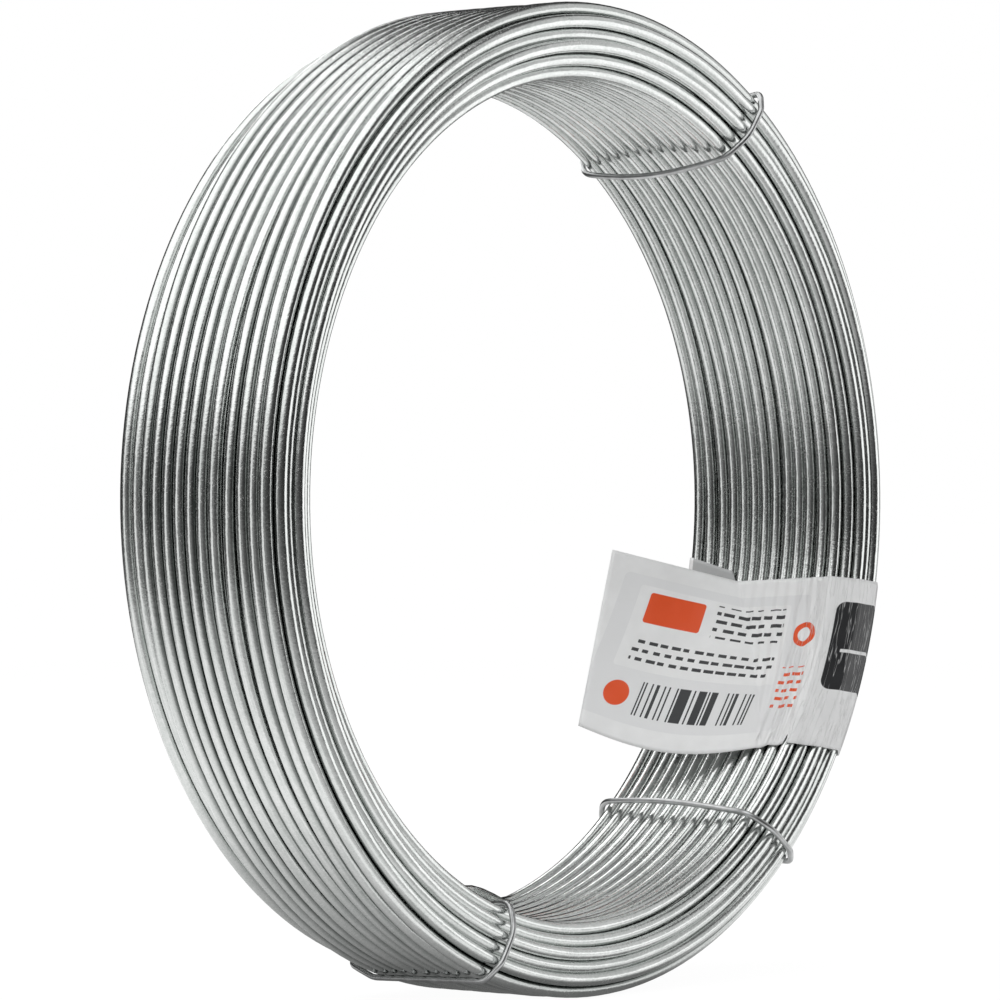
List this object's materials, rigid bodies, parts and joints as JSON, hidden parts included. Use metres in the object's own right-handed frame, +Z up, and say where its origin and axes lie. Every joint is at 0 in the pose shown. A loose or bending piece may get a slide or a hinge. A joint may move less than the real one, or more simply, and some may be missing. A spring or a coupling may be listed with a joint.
{
  "type": "coil of galvanised steel wire",
  "caption": "Coil of bright galvanised steel wire standing on its rim, bound by thin wire ties and carrying a folded paper label whose flag sticks into the eye",
  "frame": {"origin": "on the floor, under the middle of the coil", "axes": "+Y along the coil's axis, from the near end to the far one; +Z up; +X to the side that carries the label"},
  "size_m": [0.1918, 0.0465, 0.1918],
  "materials": {
    "zinc_wire": "bright zinc-coated drawn wire, satin with fine lengthwise streaks",
    "tie_wire": "thin zinc-coated tie wire",
    "label_paper": "coated white label paper with a light grey printed panel"
  },
  "bodies": {
    "root": {"wire_coil": "zinc_wire", "upper_tie": "tie_wire", "lower_tie": "tie_wire", "bottom_tie": "tie_wire", "label": "label_paper"}
  },
  "joints": []
}
